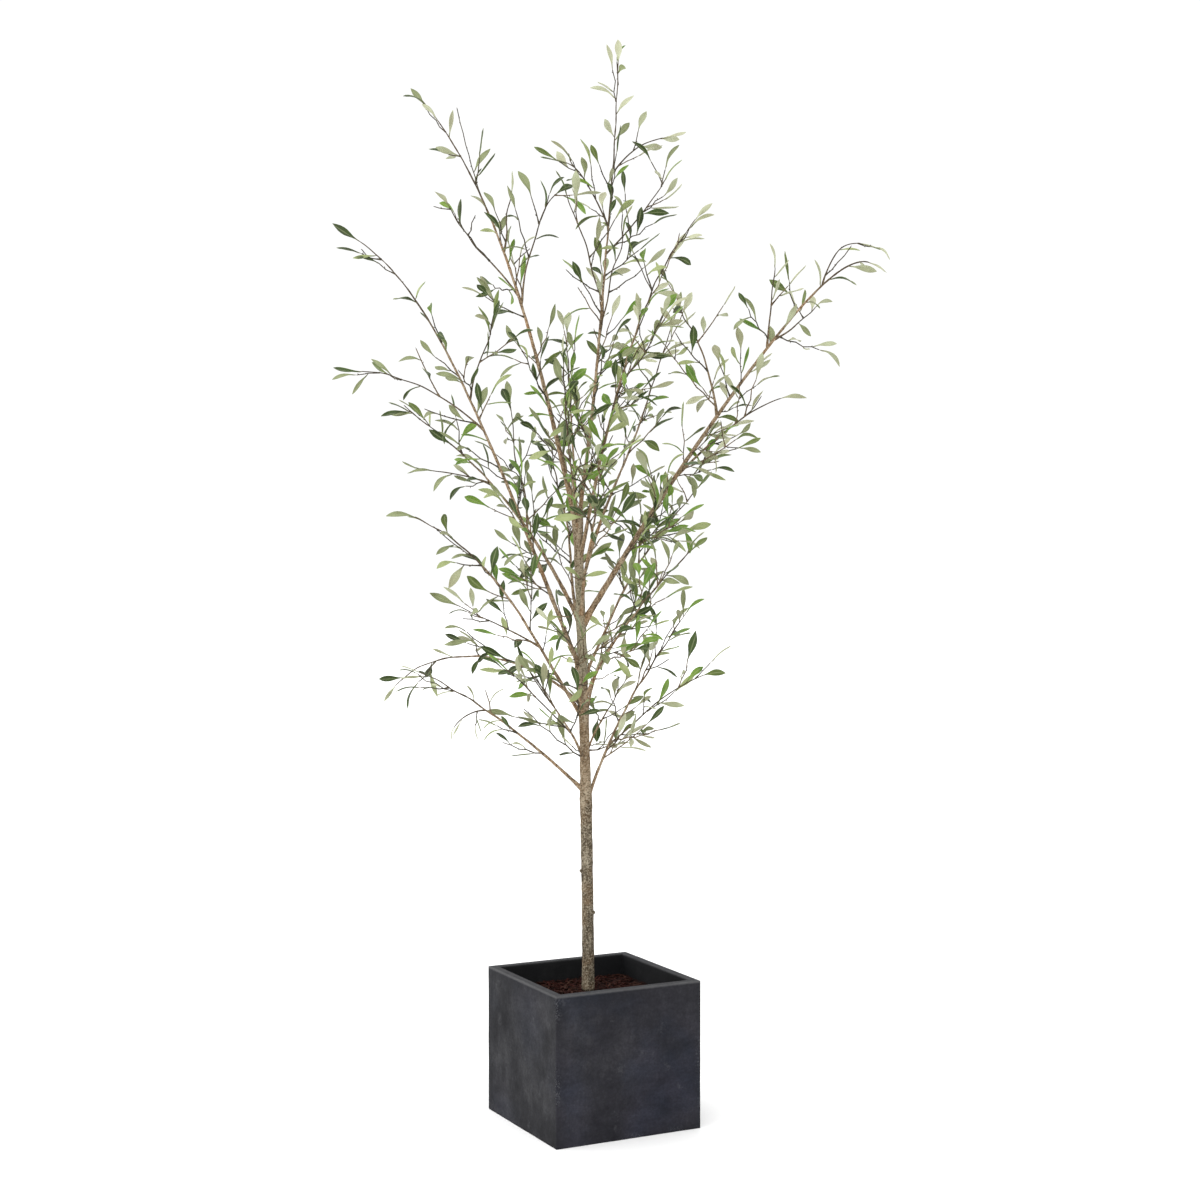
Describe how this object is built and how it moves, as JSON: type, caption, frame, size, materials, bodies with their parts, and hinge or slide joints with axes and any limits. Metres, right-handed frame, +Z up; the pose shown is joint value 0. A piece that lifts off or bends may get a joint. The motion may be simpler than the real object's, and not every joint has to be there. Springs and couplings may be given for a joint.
{
  "type": "potted artificial olive tree",
  "caption": "Slim artificial olive tree: a straight bare trunk, tapering boughs with open sprays of narrow leaves, standing in mulch in a square dark stone planter.",
  "frame": {"origin": "centre of the planter's flat underside, on the floor", "axes": "+Z up along the tree; X and Y square to the planter's sides, the picture's view coming from between -X and -Y"},
  "size_m": [1.2408, 0.851, 2.4279],
  "materials": {
    "planter": "matte charcoal fibre cement with cloudy mottling and a paler worn rim",
    "fill": "loose reddish brown coir and bark shreds",
    "trunk_bark": "rough grey brown bark with pale specks",
    "bough_bark": "smoother warm brown bark",
    "foliage": "matte narrow leaves, dark green above and pale sage below, on thin brown twigs"
  },
  "bodies": {
    "root": {"planter": "planter", "fill": "fill", "trunk": "trunk_bark", "bough_leader": "bough_bark", "foliage_leader": "foliage", "bough_high_left": "bough_bark", "foliage_high_left": "foliage", "foliage_upright": "foliage", "bough_high_right": "bough_bark", "foliage_high_right": "foliage", "bough_great_right": "bough_bark", "foliage_great_right": "foliage", "bough_inner_left": "bough_bark", "foliage_inner_left": "foliage", "bough_great_left": "bough_bark", "foliage_great_left": "foliage", "bough_low_left": "bough_bark", "foliage_low_left": "foliage", "bough_arch_left": "bough_bark", "foliage_arch_left": "foliage", "bough_lowest_left": "bough_bark", "foliage_lowest_left": "foliage", "bough_lowest_right": "bough_bark", "foliage_lowest_right": "foliage", "foliage_small_left": "foliage", "bough_mid_right": "bough_bark", "foliage_mid_right": "foliage", "bough_mid_right_back": "bough_bark", "foliage_mid_right_back": "foliage", "bough_inner_right": "bough_bark", "foliage_inner_right": "foliage", "foliage_small_right": "foliage", "bough_front": "bough_bark", "foliage_front": "foliage", "bough_front_low": "bough_bark", "foliage_front_low": "foliage", "bough_back": "bough_bark", "foliage_back": "foliage", "bough_back_low": "bough_bark", "foliage_back_low": "foliage", "bough_back_high": "bough_bark", "foliage_back_high": "foliage"}
  },
  "joints": []
}
